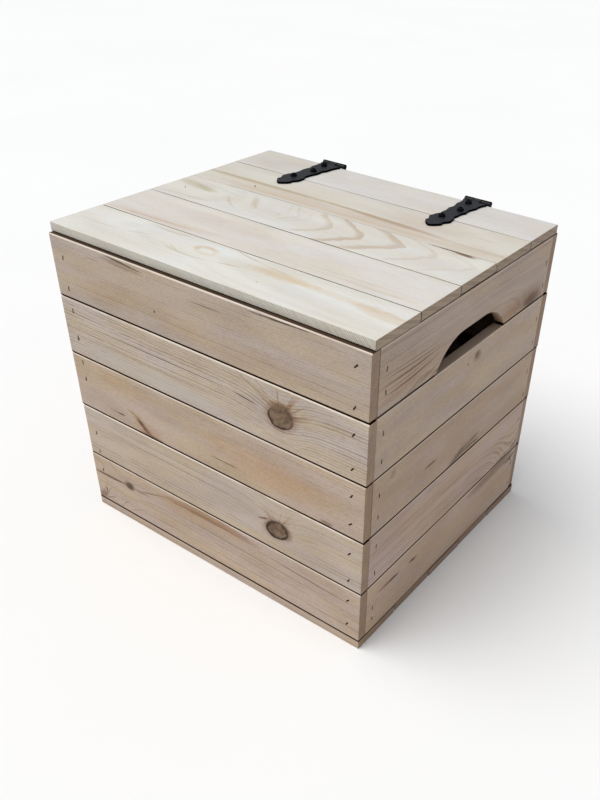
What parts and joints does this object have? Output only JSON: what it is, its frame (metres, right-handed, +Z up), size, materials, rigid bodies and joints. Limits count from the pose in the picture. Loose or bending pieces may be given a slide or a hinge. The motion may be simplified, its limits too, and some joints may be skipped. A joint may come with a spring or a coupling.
{
  "type": "kindling box",
  "caption": "Slatted pine box for kindling, with stapled corner posts, a planked base, a hand hole in each side and a planked lid on two black strap hinges.",
  "frame": {"origin": "centre of the base's underside, on the middle base board", "axes": "+X to the right along the front, +Y from the front to the back, +Z up"},
  "size_m": [0.5, 0.4386, 0.4554],
  "materials": {
    "wall_pine": "planed pine, unfinished",
    "side_pine": "planed pine, unfinished",
    "lid_pine": "planed pine, unfinished, paler",
    "base_pine": "planed pine, unfinished",
    "batten_pine": "planed pine, unfinished",
    "hinge_black": "black, satin",
    "pin_steel": "black, satin",
    "screw_black": "black, satin",
    "staple_steel": "dull"
  },
  "bodies": {
    "box": {"front_board_1": "wall_pine", "front_board_2": "wall_pine", "front_board_3": "wall_pine", "front_board_4": "wall_pine", "front_board_5": "wall_pine", "back_board_1": "wall_pine", "back_board_2": "wall_pine", "back_board_3": "wall_pine", "back_board_4": "wall_pine", "back_board_5": "wall_pine", "left_side_board_1": "side_pine", "left_side_board_2": "side_pine", "left_side_board_3": "side_pine", "left_side_board_4": "side_pine", "left_side_board_5": "side_pine", "right_side_board_1": "side_pine", "right_side_board_2": "side_pine", "right_side_board_3": "side_pine", "right_side_board_4": "side_pine", "right_side_board_5": "side_pine", "base_board_1": "base_pine", "base_board_2": "base_pine", "base_board_3": "base_pine", "base_board_4": "base_pine", "base_board_5": "base_pine", "post_front_left": "batten_pine", "post_front_right": "batten_pine", "post_back_left": "batten_pine", "post_back_right": "batten_pine", "hinge_back_leaf_left": "hinge_black", "hinge_back_leaf_right": "hinge_black", "hinge_pin_left": "pin_steel", "hinge_pin_right": "pin_steel", "hinge_screws_back": "screw_black", "staples_front": "staple_steel", "staples_back": "staple_steel", "staples_left": "staple_steel", "staples_right": "staple_steel", "staples_base": "staple_steel"},
    "lid": {"lid_board_1": "lid_pine", "lid_board_2": "lid_pine", "lid_board_3": "lid_pine", "lid_board_4": "lid_pine", "lid_board_5": "lid_pine", "lid_batten_left": "batten_pine", "lid_batten_right": "batten_pine", "hinge_lid_leaf_left": "hinge_black", "hinge_lid_leaf_right": "hinge_black", "hinge_screws_lid": "screw_black", "staples_lid": "staple_steel"}
  },
  "joints": [
    {"name": "lid_hinge", "type": "hinge", "parent": "box", "child": "lid", "pos_m": [0, 0.2165, 0.4488], "axis": [-1, 0, 0], "range_deg": [0, 235]}
  ]
}
